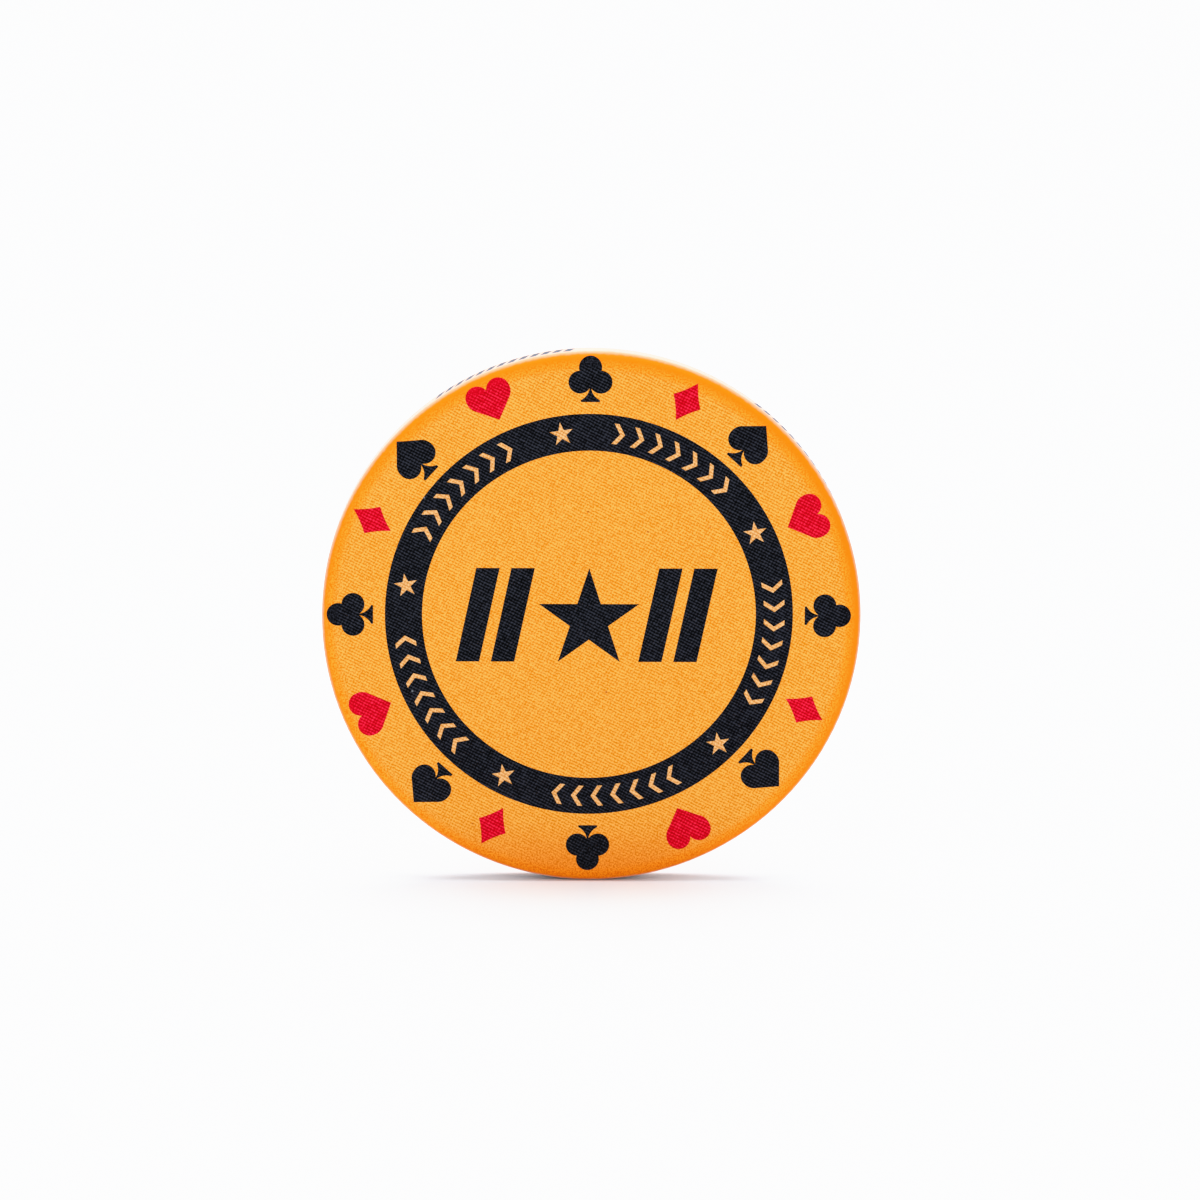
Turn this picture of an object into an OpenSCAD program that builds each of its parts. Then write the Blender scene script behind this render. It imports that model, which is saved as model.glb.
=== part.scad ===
// Knockout button for card tables: a moulded disc whose coloured print goes into the material.
// The disc stands on its rim, with its axis along Y and its front face towards -Y.
// The origin is the lowest point of the rim, midway between the faces.
// Print sizes are those of a 60 mm disc, and the whole print grows with the disc.

/* [Disc] */
// Diameter of the disc
disc_d = 60; // [48:1:75]
// Thickness from face to face
disc_t = 4.5; // [3.6:0.1:6]
// Radius of the rounded edge between face and wall
edge_r = 1.2; // [0.8:0.1:1.4]
// Depth to which the colours go into the disc
dye_depth = 0.15; // [0.1:0.05:0.3]

/* [Print position] */
// How far the front print sits to the right of the disc's axis
front_shift_x = -0.3; // [-0.5:0.05:0.5]
// How far the front print sits above the disc's axis
front_shift_z = 0.45; // [-0.5:0.05:0.5]

/* [Band] */
// Inner radius of the dark band
band_in_r = 18.54; // [17.5:0.01:19]
// Outer radius of the dark band
band_out_r = 22.67; // [22.3:0.01:23]
// Number of ornament groups around the band
band_groups = 5; // [3:1:6]
// Chevrons in one group
chevron_count = 7; // [3:1:7]
// Angle from one chevron to the next
chevron_pitch = 6.1; // [5:0.1:7]
// Height of a chevron across the band
chevron_h = 2.3; // [1.6:0.1:2.6]
// Width of a chevron's stroke along the band
chevron_stroke = 0.55; // [0.3:0.05:0.8]
// How far a chevron's point runs ahead of its arms
chevron_point = 0.8; // [0.4:0.1:1.2]
// Outer radius of a small star
star_r = 1.35; // [0.9:0.05:1.6]

/* [Emblem] */
// Overall height of the emblem
emblem_h = 10.6; // [8:0.1:12]
// Width of a slanted bar
emblem_bar_w = 2.6; // [1.5:0.1:3]
// Distance from one slanted bar to the next
emblem_bar_pitch = 3.9; // [3.4:0.1:4.2]
// Slant of the bars from upright
emblem_slant = 12; // [0:1:20]

/* [Suit pips] */
// Radius of the circle on which the pips sit
pip_ring_r = 26.5; // [26.2:0.05:26.6]
// Angle of the clubs within each quarter turn
club_angle = 0; // [-2:0.1:4]
// Angle of the hearts within each quarter turn
heart_angle = 24.5; // [20:0.1:28]
// Angle of the spades within each quarter turn
spade_angle = 47.7; // [45:0.1:50]
// Angle of the diamonds within each quarter turn
diamond_angle = 66.1; // [64:0.1:72]
// Lean of a diamond away from its radius
diamond_lean = -6.7; // [-10:0.1:10]

/* [Edge marks] */
// Groups of bars around the wall
edge_groups = 5; // [3:1:6]
// Bars in one group
edge_bar_count = 13; // [5:1:17]
// Angle from one bar to the next
edge_bar_pitch = 2.43; // [2:0.01:3]
// Width of one bar along the wall
edge_bar_w = 0.8; // [0.3:0.05:0.9]
// Slant of the bars from the disc's axis
edge_bar_slant = 20; // [0:1:25]
// Share of the wall's height that the bars take
edge_bar_share = 0.75; // [0.5:0.05:0.9]

/* [Hidden] */
$fn = 96;
disc_r = disc_d / 2;
face_z = disc_t / 2;
wall_z = face_z - edge_r;
flat_r = disc_r - edge_r;
// A cutting shape runs past the surface that it cuts by this much
cut_margin = 1;

// The print is drawn for this diameter
drawn_d = 60;
print_scale = disc_d / drawn_d;
front_shift = [front_shift_x, front_shift_z];
back_shift = [0, 0];

// Middle line of the band, and the angles at which the groups start
band_mid_r = (band_in_r + band_out_r) / 2;
chevron_start = 62.8;
star_start = 26.8;
edge_start = 109.7;

// A star's points lie on two circles, and its height ends at its lower pair of points
star_points = 5;
star_step = 180 / star_points;
star_waist = cos(2 * star_step) / cos(star_step);

// The emblem's star, and the slanted bars that stand clear of its side points
emblem_star_r = emblem_h / (1 + cos(star_step));
emblem_star_y = emblem_h / 2 - emblem_star_r;
emblem_bar_rows = 2;
emblem_bar_start = 8.2;
emblem_bar_shift = -(emblem_star_y + emblem_star_r * cos(2 * star_step)) * tan(emblem_slant);

// Lobes of the pips, each as its centre's offsets and its radius
club_top = [0, 1.36, 1.28];
club_side = [1.15, -0.29, 1.28];
heart_lobe = [1.25, 0.83, 1.32];
spade_lobe = [1.17, 0.64, 1.28];
// Larger circles that carry a heart's or a spade's sides on from its lobes
heart_cheek_r = 1.6;
spade_cheek_r = 1.5;
// Tips of their bodies
heart_tip = -2.36;
spade_tip = -2.41;
// Angle between a pip's middle line and the straight sides at its tip
tip_angle = 47;
// Straight sides run just inside the cheek circle, so that they cross it
cheek_overlap = 0.99;

// Stems of the clubs and spades: base line, half width of the foot, and height of the narrowest place
club_stem = [-2.52, 1.05, -0.76];
spade_stem = [-2.87, 1.08, -1.05];
// Half width of a stem's narrowest place, and the radius of its flared sides
stem_neck = 0.075;
stem_flare_r = 1.7;

// Diamond, with sides that curve in a little
diamond_centre = -0.18;
diamond_half = [1.74, 2.40];
diamond_curve = 0.1;
diamond_side = norm(diamond_half);
diamond_arc_r = pow(diamond_side, 2) / (8 * diamond_curve) + diamond_curve / 2;
diamond_sheet = 2 * diamond_half + [cut_margin, cut_margin];

orange = [0.99, 0.62, 0.18];
peach = [1.0, 0.75, 0.48];
black = [0.09, 0.10, 0.13];
red = [0.87, 0.05, 0.17];
white = [0.98, 0.98, 0.97];
slate = [0.30, 0.34, 0.42];

// Moves a disc lying face up so that it stands on its rim with that face to the front
module front() {
    translate([0, 0, disc_r]) rotate([90, 0, 0]) children();
}

// The same, with the face to the back
module back() {
    rotate([0, 0, 180]) front() children();
}

// Half section of the disc above its wall, out to a radius about the rounded edge's centre
module face_section(r) {
    translate([0, wall_z]) square([flat_r, r]);
    translate([flat_r, wall_z]) intersection() {
        circle(r);
        square(edge_r);
    }
}

// Dyed layer of a whole face: flat in the middle, then round the edge as far as the wall
module dyed_skin() {
    rotate_extrude() difference() {
        face_section(edge_r);
        face_section(edge_r - dye_depth);
    }
}

// Places a flat figure of the print at its shift from the disc's axis
module printed(shift) {
    translate(shift) scale(print_scale) children();
}

// Figure dyed into the flat of the face
module flat_inlay(shift) {
    translate([0, 0, face_z - dye_depth]) linear_extrude(dye_depth) printed(shift) children();
}

// Figure as a column through the face, to cut or keep what lies within it
module print_column(shift) {
    linear_extrude(disc_t) printed(shift) children();
}

// Figure dyed into the face and on round its edge
module edge_inlay(shift) {
    intersection() {
        dyed_skin();
        print_column(shift) children();
    }
}

// Half section of the disc without its dyed layers
module blank_section() {
    translate([0, -wall_z]) square([disc_r, 2 * wall_z]);
    for (side = [0, 1]) mirror([0, side]) face_section(edge_r - dye_depth);
}

// Prism of a slanted bar, from just inside the wall outwards
module bar_prism() {
    lean = wall_z * tan(edge_bar_slant);
    half_w = edge_bar_w / 2 * print_scale;
    start_r = disc_r - dye_depth - cut_margin;
    translate([start_r, 0, 0]) rotate([90, 0, 90]) linear_extrude(disc_r) polygon([
        [lean - half_w, wall_z], [lean + half_w, wall_z],
        [half_w - lean, -wall_z], [-half_w - lean, -wall_z]
    ]);
}

// Bars around the wall, cut from one ring that reaches past the wall by a margin
module wall_bars(margin) {
    bar_h = 2 * wall_z * edge_bar_share;
    intersection() {
        rotate_extrude() translate([disc_r - dye_depth, -bar_h / 2]) square([dye_depth + margin, bar_h]);
        for (group = [0 : edge_groups - 1], bar = [0 : edge_bar_count - 1])
            rotate(edge_start + group * 360 / edge_groups
                + (bar - (edge_bar_count - 1) / 2) * edge_bar_pitch) bar_prism();
    }
}

// Four copies of a pip around the face, standing outwards
module pip_ring(angle) {
    for (quarter = [0 : 3])
        rotate(angle + quarter * 90)
            translate([pip_ring_r, 0]) rotate(-90) children();
}

module lobe(place) {
    translate([place.x, place.y]) circle(place.z);
}

module lobe_pair(place) {
    lobe(place);
    lobe([-place.x, place.y, place.z]);
}

// Body of a heart: two lobes, and sides that run straight to a tip below
module heart_body(place, cheek_r, tip) {
    cheek_x = place.x + place.z - cheek_r;
    cheek_y = tip + (cheek_x * cos(tip_angle) + cheek_r * cheek_overlap) / sin(tip_angle);
    shoulder = cheek_x * sin(tip_angle) + (cheek_y - tip) * cos(tip_angle);
    corner = [shoulder * sin(tip_angle), tip + shoulder * cos(tip_angle)];
    lobe_pair(place);
    intersection() {
        lobe_pair([cheek_x, cheek_y, cheek_r]);
        translate([-2 * cheek_r, tip]) square([4 * cheek_r, place.y - tip]);
    }
    polygon([[0, tip], corner, [0, place.y], [-corner.x, corner.y]]);
}

// Stem with sides that flare in one arc from a narrow neck to a flat foot
module stem(base, foot, neck_y) {
    difference() {
        translate([-foot, base]) square([2 * foot, neck_y - base]);
        lobe_pair([stem_neck + stem_flare_r, neck_y, stem_flare_r]);
    }
}

module club() {
    lobe(club_top);
    lobe_pair(club_side);
    stem(club_stem.x, club_stem.y, club_stem.z);
}

module heart() {
    heart_body(heart_lobe, heart_cheek_r, heart_tip);
}

// A heart upside down on a stem
module spade() {
    rotate(180) heart_body(spade_lobe, spade_cheek_r, spade_tip);
    stem(spade_stem.x, spade_stem.y, spade_stem.z);
}

// A sheet with four large arcs cut from it, each through two neighbouring tips
module diamond() {
    side_angle = atan2(diamond_half.x, diamond_half.y);
    translate([0, diamond_centre]) rotate(diamond_lean) difference() {
        square(diamond_sheet, center = true);
        for (side_x = [0, 1], side_y = [0, 1]) mirror([side_x, 0]) mirror([0, side_y])
            translate(diamond_half / 2) rotate(side_angle)
                translate([diamond_arc_r - diamond_curve, 0]) circle(diamond_arc_r);
    }
}

module clubs() {
    pip_ring(club_angle) club();
}

module hearts() {
    pip_ring(heart_angle) heart();
}

module spades() {
    pip_ring(spade_angle) spade();
}

module diamonds() {
    pip_ring(diamond_angle) diamond();
}

module star(r) {
    polygon([for (i = [0 : 2 * star_points - 1])
        (i % 2 == 0 ? r : r * star_waist) * [sin(i * star_step), cos(i * star_step)]]);
}

// A chevron that points clockwise round the band
module chevron() {
    arm = chevron_h / 2;
    back_edge = -(chevron_stroke + chevron_point) / 2;
    translate([back_edge, 0]) polygon([
        [0, arm], [chevron_stroke, arm], [chevron_stroke + chevron_point, 0],
        [chevron_stroke, -arm], [0, -arm], [chevron_point, 0]
    ]);
}

// Places a figure on the middle of the band, standing outwards
module on_band(angle) {
    rotate(angle) translate([band_mid_r, 0]) rotate(-90) children();
}

module chevrons() {
    for (group = [0 : band_groups - 1], i = [0 : chevron_count - 1])
        on_band(chevron_start + group * 360 / band_groups
            + (i - (chevron_count - 1) / 2) * chevron_pitch) chevron();
}

module stars() {
    for (group = [0 : band_groups - 1]) on_band(star_start + group * 360 / band_groups) star(star_r);
}

module slanted_bar() {
    lean = emblem_h / 2 * tan(emblem_slant);
    half_w = emblem_bar_w / 2;
    polygon([
        [lean - half_w, emblem_h / 2], [lean + half_w, emblem_h / 2],
        [half_w - lean, -emblem_h / 2], [-half_w - lean, -emblem_h / 2]
    ]);
}

// A large star between slanted bars
module emblem() {
    translate([0, emblem_star_y]) star(emblem_star_r);
    for (side = [-1, 1], row = [0 : emblem_bar_rows - 1])
        translate([side * (emblem_bar_start + row * emblem_bar_pitch) + emblem_bar_shift, 0])
            slanted_bar();
}

module border_inlay(shift) {
    color(orange) difference() {
        dyed_skin();
        print_column(shift) circle(band_out_r);
        print_column(shift) {
            clubs();
            hearts();
            spades();
            diamonds();
        }
    }
}

module band_inlay(shift) {
    color(black) flat_inlay(shift) difference() {
        circle(band_out_r);
        circle(band_in_r);
        chevrons();
        stars();
    }
}

module centre_inlay(shift) {
    color(orange) flat_inlay(shift) difference() {
        circle(band_in_r);
        emblem();
    }
}

module blank() {
    color(white) front() difference() {
        rotate_extrude() blank_section();
        wall_bars(cut_margin);
    }
}

module edge_bars() {
    color(slate) front() wall_bars(0);
}

module front_border() { front() border_inlay(front_shift); }
module front_clubs() { color(black) front() edge_inlay(front_shift) clubs(); }
module front_hearts() { color(red) front() edge_inlay(front_shift) hearts(); }
module front_spades() { color(black) front() edge_inlay(front_shift) spades(); }
module front_diamonds() { color(red) front() edge_inlay(front_shift) diamonds(); }
module front_band() { front() band_inlay(front_shift); }
module front_chevrons() { color(peach) front() flat_inlay(front_shift) chevrons(); }
module front_stars() { color(peach) front() flat_inlay(front_shift) stars(); }
module front_centre_field() { front() centre_inlay(front_shift); }
module front_emblem() { color(black) front() flat_inlay(front_shift) emblem(); }

module back_border() { back() border_inlay(back_shift); }
module back_clubs() { color(black) back() edge_inlay(back_shift) clubs(); }
module back_hearts() { color(red) back() edge_inlay(back_shift) hearts(); }
module back_spades() { color(black) back() edge_inlay(back_shift) spades(); }
module back_diamonds() { color(red) back() edge_inlay(back_shift) diamonds(); }
module back_band() { back() band_inlay(back_shift); }
module back_chevrons() { color(peach) back() flat_inlay(back_shift) chevrons(); }
module back_stars() { color(peach) back() flat_inlay(back_shift) stars(); }
module back_centre_field() { back() centre_inlay(back_shift); }
module back_emblem() { color(black) back() flat_inlay(back_shift) emblem(); }

blank();
edge_bars();
front_border();
front_clubs();
front_hearts();
front_spades();
front_diamonds();
front_band();
front_chevrons();
front_stars();
front_centre_field();
front_emblem();
back_border();
back_clubs();
back_hearts();
back_spades();
back_diamonds();
back_band();
back_chevrons();
back_stars();
back_centre_field();
back_emblem();
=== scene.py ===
import math

import bpy
from mathutils import Color, Matrix, Vector


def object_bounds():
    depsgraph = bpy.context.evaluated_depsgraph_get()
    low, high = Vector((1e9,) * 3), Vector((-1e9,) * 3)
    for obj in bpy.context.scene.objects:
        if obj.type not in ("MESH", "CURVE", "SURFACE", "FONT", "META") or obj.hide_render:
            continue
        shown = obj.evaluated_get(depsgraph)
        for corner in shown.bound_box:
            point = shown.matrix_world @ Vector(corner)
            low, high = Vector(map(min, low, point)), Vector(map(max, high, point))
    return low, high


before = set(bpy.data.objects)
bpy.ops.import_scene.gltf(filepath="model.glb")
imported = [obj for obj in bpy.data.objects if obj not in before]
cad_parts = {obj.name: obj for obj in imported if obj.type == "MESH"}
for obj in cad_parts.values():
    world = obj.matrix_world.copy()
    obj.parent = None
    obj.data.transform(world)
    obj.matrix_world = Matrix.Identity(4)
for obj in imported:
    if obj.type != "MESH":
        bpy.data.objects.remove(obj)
cad_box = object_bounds()

# Units: the frame is in metres, and the patterns on the disc are in millimetres
MM = 0.001
METRES_TO_MM = 1000.0

# Disc, as the frame gives it, with half of its thickness in millimetres
DISC_R = (cad_box[1].x - cad_box[0].x) / 2
FACE_Y = cad_box[0].y
AXIS = Vector((0.0, 0.0, DISC_R))
FACE_HALF = -FACE_Y * METRES_TO_MM

# Radius of the disc's rounded edge, in millimetres
EDGE_R = 1.2

# Photograph: its side, the place of the print's centre in it and its focal length, in pixels
PHOTO_SIDE = 1200
PRINT_CENTRE_PX = (589.0, 615.1)
FOCAL_PX = 6233

# Camera, placed from the print's centre on the front face
PRINT_SHIFT = Vector((-0.3, 0.0, 0.45)) * MM
CAMERA_DISTANCE = 692.5 * MM
CAMERA_AZIMUTH = math.radians(-1.09)
CAMERA_ELEVATION = math.radians(11.30)
CAMERA_ROLL = math.radians(0.39)
CAMERA_CLIP = (0.01, 20.0)
SENSOR_MM = 36.0

# Weave moulded into the faces: its pitch and its depth, in millimetres, and its turn
WEAVE_PITCH = 0.337
WEAVE_DEPTH = 0.03
WEAVE_TURN = math.radians(63.3)

# Radii over which the weave runs out, and the level between gap and top that it runs out to
WEAVE_END = (27.7, 29.0)
WEAVE_LEVEL = 0.5

# How far the threads wander to each side, in millimetres
WANDER = 0.08

# Range of a warp thread's swelling, and how much slower it changes along the thread than across
SWELL = (0.35, 0.82)
SWELL_STRETCH = 0.5

# What the beads of the weft add to a thread, and what chance adds or takes at a crossing
BEAD = (0.06, 0.34)
CHANCE = 0.13

# Scales of the noises and of the specks, per millimetre
WANDER_SCALE = 0.9
SWELL_SCALE = 2.2
WAVER_SCALE = 1.8
FLECK_SCALE = 5.8
CLOUD_SCALE = 0.16
GRAIN_SCALE = 4.0
SPECK_SCALE = 0.3

# Detail of a noise, which is how much finer noise it holds
SMOOTH = 1.0
MIXED = 2.0
ROUGH = 3.0

# How uneven a dye is over the face, and how much stronger its fleck is where the weave has run out
CLOUD = 0.07
RIM_FLECK = 1.8

# Part of the grain's noise over which the wall goes from low to high
GRAIN_TURN = (0.3, 0.7)

# Distances over which a speck sets in, as shares of the specks' spacing, and how strong it is
SPECK_TURN = (0.045, 0.02)
SPECK_SHARE = 0.7

# Radii over which the orange turns to its edge tone and then to its rim tone
EDGE_TURN = (27.9, 28.9)
RIM_TURN = (28.8, 29.7)

# Where those radii start from, seen from the axis
TINT_CENTRE = (-0.2, 0.0, -0.25)

# Heights, seen from the axis, over which painted shade deepens the orange at the foot, near the floor,
# and how far it does
FOOT_SHADE_TURN = (-22.0, -31.0)
FOOT_SHADE_SHARE = 0.8

# Share of the weave that is left at the foot, where the painted shade also fades the weave's painted gap
# shade and top sheen
FOOT_SHADE_WEAVE = 0.25

# Distances behind the face over which the orange fades to peach and then to cream
PEACH_FADE = (0.36, 0.72)
CREAM_FADE = (0.74, 1.12)

# How far those distances waver to each side
FADE_WAVER = 0.14

# Distances behind the face over which the blank turns orange under the dye
UNDER_TURN = (EDGE_R - 0.02, EDGE_R - 0.1)

# Gloss of the dyed faces and of the wall, on a scale where common plastic has 0.5
DYE_GLOSS = 0.03
WALL_GLOSS = 0.4

# Roughness of the faces from gap to top, and of the wall and its bars from low to high grain
DYE_ROUGHNESS = (0.62, 0.5)
WALL_ROUGHNESS = (0.3, 0.5)
BAR_ROUGHNESS = (0.32, 0.52)

# Depth of the wall's grain, in millimetres
GRAIN_DEPTH = 0.006

# Floor: half of its side in metres, its colour, its roughness and its gloss
FLOOR_HALF = 4.0
FLOOR_COLOUR = (0.83, 0.88, 0.94, 1.0)
FLOOR_ROUGHNESS = 0.5
FLOOR_GLOSS = 0.25

# Even light from all round
ROUND_COLOUR = (1.0, 1.0, 1.0, 1.0)
ROUND_STRENGTH = 0.85

# Overhead light: how far it leans back, how wide it is, and its strength
OVERHEAD_TILT = math.radians(8)
OVERHEAD_SPREAD = math.radians(50)
OVERHEAD_STRENGTH = 2.8

# Weak soft box on the left: its place and its side, in metres, and its power
FILL_PLACE = (-0.7, -0.6, 0.8)
FILL_SIZE = 0.5
FILL_POWER = 1.2

# What each level of light is shown as, up to the brightest that is still told from white
SHOULDER = [
    (0.35, 0.35), (0.7, 0.7), (0.85, 0.84), (1.0, 0.935),
    (1.15, 0.963), (1.4, 0.977), (2.0, 0.985),
]

# Number of the tone curve that acts on red, green and blue alike
COMMON_CURVE = 3

# Sockets of a mix node that carry colours, which share their names with others
MIX_SHARE = 0
MIX_FIRST = 6
MIX_SECOND = 7
MIX_RESULT = 2

# Brightest level of a screen's red, green or blue
SCREEN_TOP = 255


def tone(*levels):
    """Linear colour of a tone given as its red, green and blue on a screen."""
    shown = Color([level / SCREEN_TOP for level in levels])
    return (*shown.from_srgb_to_scene_linear(), 1.0)


# Tones of the dyes and of the wall; each dye's gap tone holds painted shade in the weave's gaps, and its
# top tone a painted sheen on the threads' tops
ORANGE_SHADED_GAP = tone(224, 130, 0)
ORANGE_SHEEN_TOP = tone(255, 178, 80)
EDGE_GAP = tone(240, 124, 0)
EDGE_SHEEN_TOP = tone(255, 162, 44)
ORANGE_RIM = tone(252, 131, 8)
# Painted shade: deeper orange tones for the foot, near the floor
FOOT_SHADE_GAP = tone(222, 98, 0)
FOOT_SHADE_TOP = tone(248, 134, 0)
ORANGE_SPECK = tone(168, 78, 20)
PEACH = tone(246, 168, 130)
CREAM = tone(236, 193, 174)
WALL = tone(238, 206, 190)
WALL_LOW = tone(230, 194, 177)
BLACK_SHADED_GAP = tone(1, 1, 2)
BLACK_SHEEN_TOP = tone(48, 50, 60)
BLACK_SPECK = tone(130, 134, 142)
RED_SHADED_GAP = tone(178, 0, 6)
RED_BODY = tone(216, 0, 30)
RED_SHEEN_TOP = tone(254, 42, 78)
RED_SPECK = tone(232, 90, 90)
PALE_SHADED_GAP = tone(210, 138, 58)
PALE_SHEEN_TOP = tone(242, 188, 130)
SLATE = tone(68, 78, 98)
SLATE_THIN = tone(100, 111, 129)

# Range of the weave over which a dye goes from its gap tone, with painted shade, to its top tone, with
# painted sheen
EVEN = (0.05, 0.9)
SPARSE = (0.3, 1.0)
WIDE = (0.05, 1.12)

# How strongly a dye is flecked
COARSE = 0.9
FINE = 0.45


class Graph:
    """Adds nodes to one shader tree and links them."""

    def __init__(self, tree):
        self.tree = tree

    def feed(self, socket, value):
        """Links another node's output to a socket, or sets the socket to a constant."""
        if isinstance(value, bpy.types.NodeSocket):
            self.tree.links.new(value, socket)
        else:
            socket.default_value = value

    def node(self, kind, inputs=None, **settings):
        """New node with its settings and inputs."""
        made = self.tree.nodes.new(kind)
        for name, value in settings.items():
            setattr(made, name, value)
        for key, value in (inputs or {}).items():
            self.feed(made.inputs[key], value)
        return made

    def math(self, operation, *values):
        """Result of an operation on numbers."""
        made = self.node("ShaderNodeMath", operation=operation)
        for socket, value in zip(made.inputs, values):
            self.feed(socket, value)
        return made.outputs[0]

    def vector(self, operation, first, second=None, scale=None):
        """Node of an operation on vectors."""
        made = self.node("ShaderNodeVectorMath", {0: first}, operation=operation)
        if second is not None:
            self.feed(made.inputs[1], second)
        if scale is not None:
            self.feed(made.inputs["Scale"], scale)
        return made

    def step(self, value, low, high):
        """0 at low, 1 at high, and smooth between them."""
        made = self.node("ShaderNodeMapRange", interpolation_type="SMOOTHSTEP")
        for name, number in (("Value", value), ("From Min", low), ("From Max", high)):
            self.feed(made.inputs[name], number)
        return made.outputs["Result"]

    def spread(self, value, low, high):
        """A value from 0 to 1, spread from low to high."""
        return self.math("MULTIPLY_ADD", value, high - low, low)

    def noise(self, place, scale, detail):
        """Smooth noise from 0 to 1."""
        inputs = {"Vector": place, "Scale": scale, "Detail": detail}
        return self.node("ShaderNodeTexNoise", inputs).outputs["Fac"]

    def mix(self, share, first, second):
        """First colour where the share is 0, second colour where it is 1."""
        inputs = {MIX_SHARE: share, MIX_FIRST: first, MIX_SECOND: second}
        return self.node("ShaderNodeMix", inputs, data_type="RGBA").outputs[MIX_RESULT]

    def ramp(self, share, tones):
        """Colour that runs through the tones, evenly spaced, as the share goes from 0 to 1."""
        made = self.node("ShaderNodeValToRGB", {"Fac": share})
        stops = made.color_ramp.elements
        last = len(tones) - 1
        for number in range(1, last):
            stops.new(number / last)
        for stop, colour in zip(stops, tones):
            stop.color = colour
        return made.outputs["Color"]

    def wave(self, along, pitch):
        """0 in the gaps and 1 on the tops of threads that lie a pitch apart."""
        turn = self.math("MULTIPLY", along, 2 * math.pi / pitch)
        return self.math("MULTIPLY_ADD", self.math("COSINE", turn), 1 / 2, 1 / 2)

    def count(self, along, pitch):
        """Number of the thread that a place lies on."""
        return self.math("ROUND", self.math("DIVIDE", along, pitch))


def disc_place(graph):
    """Place in the disc's own frame, seen from its centre, in millimetres."""
    place = graph.node("ShaderNodeTexCoord").outputs["Object"]
    place = graph.vector("SUBTRACT", place, AXIS).outputs[0]
    return graph.vector("SCALE", place, scale=METRES_TO_MM).outputs[0]


def weave_height(graph, place, side):
    """Height of the weave, from about 0 in the gaps to about 1 on the tops of the threads."""
    across = Vector((math.cos(WEAVE_TURN), 0, math.sin(WEAVE_TURN)))
    along = Vector((math.sin(WEAVE_TURN), 0, -math.cos(WEAVE_TURN)))
    wander = graph.spread(graph.noise(place, WANDER_SCALE, MIXED), -WANDER, WANDER)
    warp = graph.math("ADD", graph.vector("DOT_PRODUCT", place, across).outputs["Value"], wander)
    weft = graph.math("ADD", graph.vector("DOT_PRODUCT", place, along).outputs["Value"], wander)

    # A warp thread is brighter in some stretches than in others, and the weft shows as beads on it
    slow_weft = graph.math("MULTIPLY", weft, SWELL_STRETCH)
    stretch = graph.node("ShaderNodeCombineXYZ", {"X": warp, "Y": slow_weft}).outputs[0]
    swell = graph.spread(graph.noise(stretch, SWELL_SCALE, SMOOTH), *SWELL)
    height = graph.math("MULTIPLY", graph.wave(warp, WEAVE_PITCH), swell)
    height = graph.math("ADD", height, graph.spread(graph.wave(weft, WEAVE_PITCH), *BEAD))

    # Each crossing of two threads takes the dye a little more or less than the next
    crossing = graph.node("ShaderNodeCombineXYZ", {
        "X": graph.count(warp, WEAVE_PITCH),
        "Y": graph.count(weft, WEAVE_PITCH),
        "Z": side,
    }).outputs[0]
    chance = graph.node("ShaderNodeTexWhiteNoise", {"Vector": crossing}).outputs["Value"]
    return graph.math("ADD", height, graph.spread(chance, -CHANCE, CHANCE))


def woven_face():
    """Group that gives every zone the same weave, fades, painted shade at the foot and small faults, from
    the disc's own frame.
    """
    group = bpy.data.node_groups.new("woven_face", "ShaderNodeTree")
    graph = Graph(group)
    place = disc_place(graph)
    part = graph.node("ShaderNodeSeparateXYZ", {"Vector": place}).outputs
    flat = graph.vector("MULTIPLY", place, (1, 0, 1)).outputs[0]
    radius = graph.vector("LENGTH", flat).outputs["Value"]
    behind = graph.math("SUBTRACT", FACE_HALF, graph.math("ABSOLUTE", part["Y"]))
    # Painted shade towards the foot, by height above the floor
    foot_shade = graph.step(part["Z"], *FOOT_SHADE_TURN)

    # The weave runs out before the rim, and shows less in the painted shade at the foot
    woven = graph.step(radius, *reversed(WEAVE_END))
    woven = graph.math("MULTIPLY", woven, graph.spread(foot_shade, 1.0, FOOT_SHADE_WEAVE))
    height = weave_height(graph, place, graph.math("SIGN", part["Y"]))
    above = graph.math("SUBTRACT", height, WEAVE_LEVEL)

    # Small faults
    waver = graph.spread(graph.noise(place, WAVER_SCALE, ROUGH), -FADE_WAVER, FADE_WAVER)
    fleck = graph.spread(graph.noise(place, FLECK_SCALE, SMOOTH), -1.0, 1.0)
    specks = graph.node("ShaderNodeTexVoronoi", {"Vector": place, "Scale": SPECK_SCALE})
    speck = graph.step(specks.outputs["Distance"], *SPECK_TURN)

    outputs = {
        "Thread": graph.math("MULTIPLY_ADD", above, woven, WEAVE_LEVEL),
        "Fleck": graph.math("MULTIPLY", fleck, graph.spread(woven, RIM_FLECK, 1.0)),
        "Cloud": graph.noise(place, CLOUD_SCALE, ROUGH),
        "Grain": graph.step(graph.noise(place, GRAIN_SCALE, MIXED), *GRAIN_TURN),
        "Speck": graph.math("MULTIPLY", speck, woven),
        "Tint radius": graph.vector("DISTANCE", flat, TINT_CENTRE).outputs["Value"],
        "Foot shade": graph.math("MULTIPLY", foot_shade, FOOT_SHADE_SHARE),
        "Behind": behind,
        "Fade": graph.math("ADD", behind, waver),
    }
    end = graph.node("NodeGroupOutput")
    for name, value in outputs.items():
        group.interface.new_socket(name=name, in_out="OUTPUT", socket_type="NodeSocketFloat")
        graph.feed(end.inputs[name], value)
    return group


WOVEN_FACE = woven_face()


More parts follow.
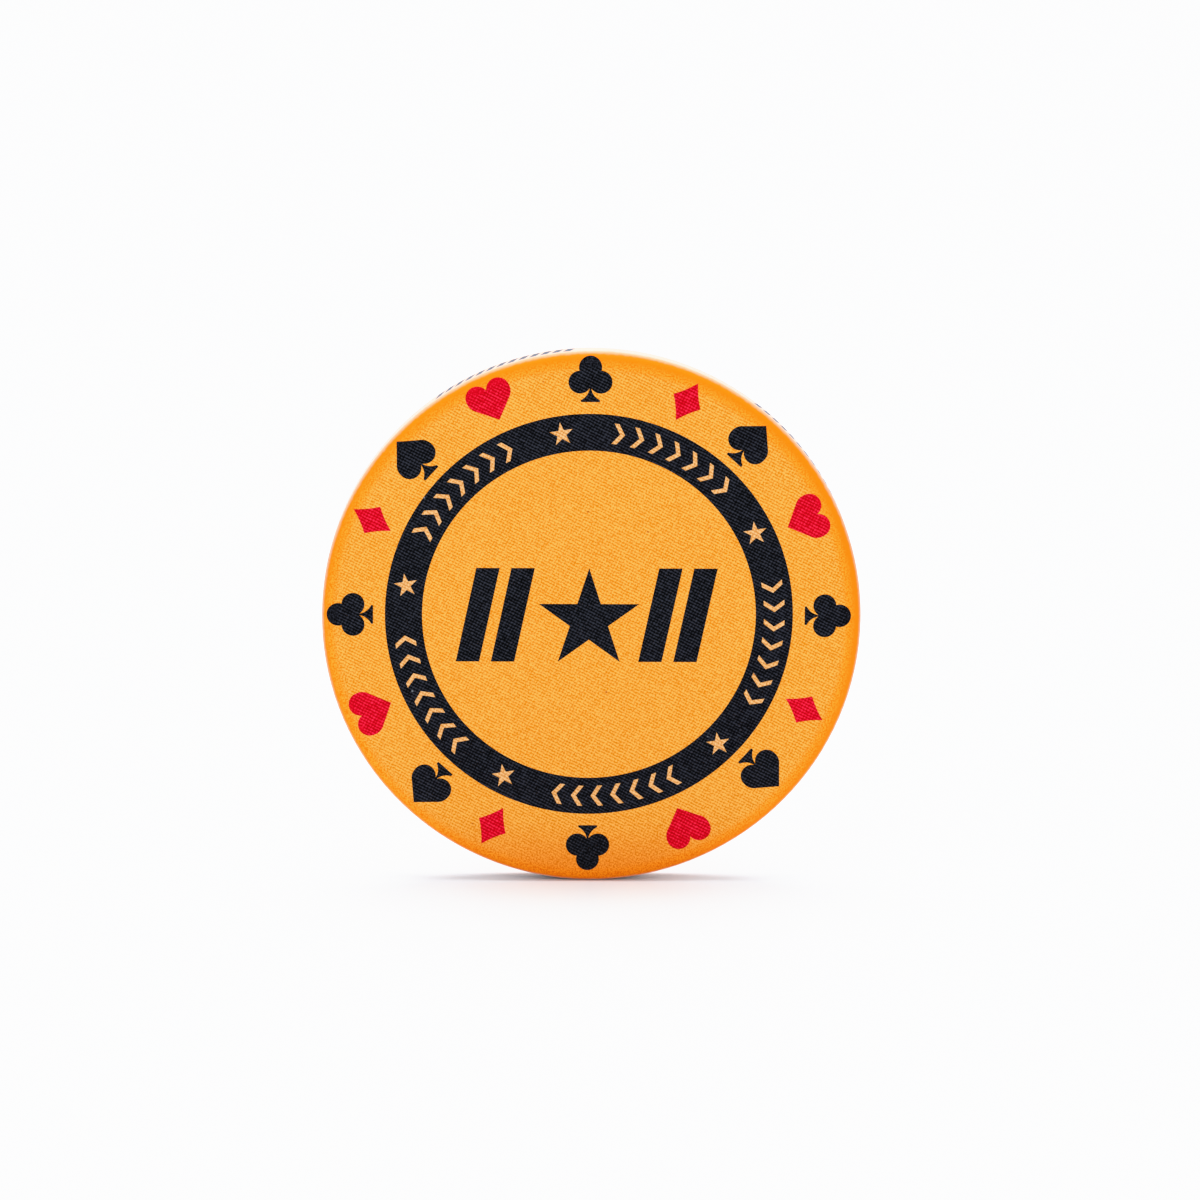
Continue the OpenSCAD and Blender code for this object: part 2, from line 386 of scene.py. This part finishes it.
def start_material(name):
    """Empty material with its graph, its surface shader and the woven pattern's outputs."""
    material = bpy.data.materials.new(name)
    material.use_nodes = True
    material.node_tree.nodes.clear()
    graph = Graph(material.node_tree)
    shader = graph.node("ShaderNodeBsdfPrincipled")
    end = graph.node("ShaderNodeOutputMaterial", {"Surface": shader.outputs[0]})
    end.is_active_output = True
    pattern = graph.node("ShaderNodeGroup", node_tree=WOVEN_FACE).outputs
    return material, graph, shader, pattern


def relief(graph, shader, height, depth):
    """Lets a pattern stand up from the surface by a depth in millimetres."""
    inputs = {"Strength": 1.0, "Distance": depth * MM, "Height": height}
    graph.feed(shader.inputs["Normal"], graph.node("ShaderNodeBump", inputs).outputs[0])


def weave_share(graph, pattern, contrast, fleck):
    """Share of the top tone, which holds the painted sheen: more on the threads, flecked, and uneven over
    the face.
    """
    share = graph.math("ADD", pattern["Thread"], graph.spread(pattern["Cloud"], -CLOUD, CLOUD))
    share = graph.math("MULTIPLY_ADD", pattern["Fleck"], fleck, share)
    return graph.step(share, *contrast)


def finish_dye(graph, shader, pattern, colour, speck):
    """Adds the specks, the dull gloss and the moulded weave to a dye's colour."""
    colour = graph.mix(graph.math("MULTIPLY", pattern["Speck"], SPECK_SHARE), colour, speck)
    graph.feed(shader.inputs["Base Color"], colour)
    graph.feed(shader.inputs["Roughness"], graph.spread(pattern["Thread"], *DYE_ROUGHNESS))
    shader.inputs["Specular IOR Level"].default_value = DYE_GLOSS
    relief(graph, shader, pattern["Thread"], WEAVE_DEPTH)


def finish_wall(graph, shader, pattern, colour, roughness):
    """Adds the satin gloss and the fine grain of the wall to a colour."""
    graph.feed(shader.inputs["Base Color"], colour)
    graph.feed(shader.inputs["Roughness"], graph.spread(pattern["Grain"], *roughness))
    shader.inputs["Specular IOR Level"].default_value = WALL_GLOSS
    relief(graph, shader, pattern["Grain"], GRAIN_DEPTH)


def dyed_material(name, tones, speck, contrast, fleck):
    """Dye in the woven face, whose tones run from painted shade in the gaps to a painted sheen on the
    tops of the threads.
    """
    material, graph, shader, pattern = start_material(name)
    colour = graph.ramp(weave_share(graph, pattern, contrast, fleck), tones)
    finish_dye(graph, shader, pattern, colour, speck)
    return material


def border_material():
    """Orange dye that deepens towards the rim, with painted shade that deepens it at the foot, and fades
    round the rounded edge.
    """
    material, graph, shader, pattern = start_material("orange_border")
    share = weave_share(graph, pattern, EVEN, COARSE)
    # Painted shade in the weave's gaps and a painted sheen on the threads' tops
    colour = graph.mix(share, ORANGE_SHADED_GAP, ORANGE_SHEEN_TOP)
    edge = graph.mix(share, EDGE_GAP, EDGE_SHEEN_TOP)
    foot_shade = graph.mix(share, FOOT_SHADE_GAP, FOOT_SHADE_TOP)
    colour = graph.mix(graph.step(pattern["Tint radius"], *EDGE_TURN), colour, edge)
    colour = graph.mix(graph.step(pattern["Tint radius"], *RIM_TURN), colour, ORANGE_RIM)
    # Painted shade: the orange deepens towards the foot, near the floor
    colour = graph.mix(pattern["Foot shade"], colour, foot_shade)
    colour = graph.mix(graph.step(pattern["Fade"], *PEACH_FADE), colour, PEACH)
    colour = graph.mix(graph.step(pattern["Fade"], *CREAM_FADE), colour, CREAM)
    finish_dye(graph, shader, pattern, colour, ORANGE_SPECK)
    return material


def blank_material():
    """Satin blank: a cream wall, deeper where the faces' dye runs out on it, and orange under the dye."""
    material, graph, shader, pattern = start_material("satin_blank")
    colour = graph.mix(pattern["Grain"], WALL_LOW, WALL)
    colour = graph.mix(graph.step(pattern["Fade"], FACE_HALF, EDGE_R), colour, CREAM)
    colour = graph.mix(graph.step(pattern["Behind"], *UNDER_TURN), colour, EDGE_GAP)
    finish_wall(graph, shader, pattern, colour, WALL_ROUGHNESS)
    return material


def edge_print_material():
    """Slate print on the wall, a little uneven where it has not taken fully."""
    material, graph, shader, pattern = start_material("slate_edge_print")
    colour = graph.mix(pattern["Grain"], SLATE, SLATE_THIN)
    finish_wall(graph, shader, pattern, colour, BAR_ROUGHNESS)
    return material


def dress_nodes():
    """Gives each node of the frame its material."""
    # Each dye runs from painted shade in the weave's gaps to a painted sheen on the threads' tops
    orange = dyed_material("orange_face", [ORANGE_SHADED_GAP, ORANGE_SHEEN_TOP], ORANGE_SPECK, EVEN, COARSE)
    black = dyed_material("black_print", [BLACK_SHADED_GAP, BLACK_SHEEN_TOP], BLACK_SPECK, SPARSE, FINE)
    red = dyed_material("red_print", [RED_SHADED_GAP, RED_BODY, RED_SHEEN_TOP], RED_SPECK, WIDE, FINE)
    pale = dyed_material("peach_print", [PALE_SHADED_GAP, PALE_SHEEN_TOP], ORANGE_SPECK, EVEN, COARSE)
    face = {
        "border": border_material(),
        "centre_field": orange,
        "clubs": black, "spades": black, "band": black, "emblem": black,
        "hearts": red, "diamonds": red,
        "chevrons": pale, "stars": pale,
    }
    materials = {"blank": blank_material(), "edge_bars": edge_print_material()}
    for side in ("front", "back"):
        materials.update({f"{side}_{zone}": material for zone, material in face.items()})
    for name, material in materials.items():
        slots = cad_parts[name].data.materials
        slots.clear()
        slots.append(material)


def pale_floor():
    """Wide pale floor with a faint gloss."""
    half = FLOOR_HALF
    mesh = bpy.data.meshes.new("floor")
    corners = [(-half, -half, 0), (half, -half, 0), (half, half, 0), (-half, half, 0)]
    mesh.from_pydata(corners, [], [(0, 1, 2, 3)])
    material = bpy.data.materials.new("floor")
    material.use_nodes = True
    shader = material.node_tree.nodes["Principled BSDF"]
    shader.inputs["Base Color"].default_value = FLOOR_COLOUR
    shader.inputs["Roughness"].default_value = FLOOR_ROUGHNESS
    shader.inputs["Specular IOR Level"].default_value = FLOOR_GLOSS
    mesh.materials.append(material)
    floor = bpy.data.objects.new("floor", mesh)
    bpy.context.scene.collection.objects.link(floor)


def soft_box(name, place, size, power):
    """Square area light that faces the disc's centre."""
    light = bpy.data.lights.new(name, "AREA")
    light.size = size
    light.energy = power
    lamp = bpy.data.objects.new(name, light)
    lamp.location = place
    lamp.rotation_euler = (AXIS - Vector(place)).to_track_quat("-Z", "Y").to_euler()
    bpy.context.scene.collection.objects.link(lamp)


def wide_light(name, tilt, spread, strength):
    """Light from a whole round patch of the sky, which leans back from straight overhead."""
    light = bpy.data.lights.new(name, "SUN")
    light.angle = spread
    light.energy = strength
    lamp = bpy.data.objects.new(name, light)
    lamp.rotation_euler = (-tilt, 0.0, 0.0)
    bpy.context.scene.collection.objects.link(lamp)


def soft_shoulder(view):
    """Lets bright tones run into white slowly, as a camera does, and leaves the others as they are."""
    brightest, shown_brightest = SHOULDER[-1]
    view.use_curve_mapping = True
    mapping = view.curve_mapping
    mapping.white_level = (brightest, brightest, brightest)
    points = mapping.curves[COMMON_CURVE].points
    points[0].location = (0.0, 0.0)
    points[1].location = (1.0, shown_brightest)
    for light, shown in SHOULDER[:-1]:
        points.new(light / brightest, shown)
    for point in points:
        point.handle_type = "AUTO_CLAMPED"
    mapping.update()


def studio():
    """Bright even surroundings, with a wide light overhead and a weak soft box on the left."""
    scene = bpy.context.scene
    world = bpy.data.worlds.new("studio")
    world.use_nodes = True
    background = world.node_tree.nodes["Background"]
    background.inputs["Color"].default_value = ROUND_COLOUR
    background.inputs["Strength"].default_value = ROUND_STRENGTH
    scene.world = world
    scene.view_settings.view_transform = "Standard"
    soft_shoulder(scene.view_settings)
    wide_light("overhead", OVERHEAD_TILT, OVERHEAD_SPREAD, OVERHEAD_STRENGTH)
    soft_box("left_fill", FILL_PLACE, FILL_SIZE, FILL_POWER)


def photo_camera():
    """Camera that sees the disc as the photograph does."""
    azimuth, elevation, roll = CAMERA_AZIMUTH, CAMERA_ELEVATION, CAMERA_ROLL
    level = Vector((math.cos(azimuth), math.sin(azimuth), 0.0))
    away = Vector((math.sin(azimuth), -math.cos(azimuth), 0.0))
    back = math.cos(elevation) * away + Vector((0.0, 0.0, math.sin(elevation)))
    rise = back.cross(level)
    right = math.cos(roll) * level + math.sin(roll) * rise
    up = math.cos(roll) * rise - math.sin(roll) * level

    print_centre = AXIS + PRINT_SHIFT + Vector((0.0, FACE_Y, 0.0))
    half = PHOTO_SIDE / 2
    per_pixel = CAMERA_DISTANCE / FOCAL_PX
    aside = (half - PRINT_CENTRE_PX[0]) * per_pixel
    above = (PRINT_CENTRE_PX[1] - half) * per_pixel
    place = print_centre + CAMERA_DISTANCE * back + aside * right + above * up

    data = bpy.data.cameras.new("photo_camera")
    data.sensor_width = SENSOR_MM
    data.lens = SENSOR_MM * FOCAL_PX / PHOTO_SIDE
    data.clip_start, data.clip_end = CAMERA_CLIP
    camera = bpy.data.objects.new("photo_camera", data)
    turn = Matrix((right, up, back)).transposed()
    camera.matrix_world = Matrix.Translation(place) @ turn.to_4x4()
    bpy.context.scene.collection.objects.link(camera)
    bpy.context.scene.camera = camera


dress_nodes()
pale_floor()
studio()
photo_camera()
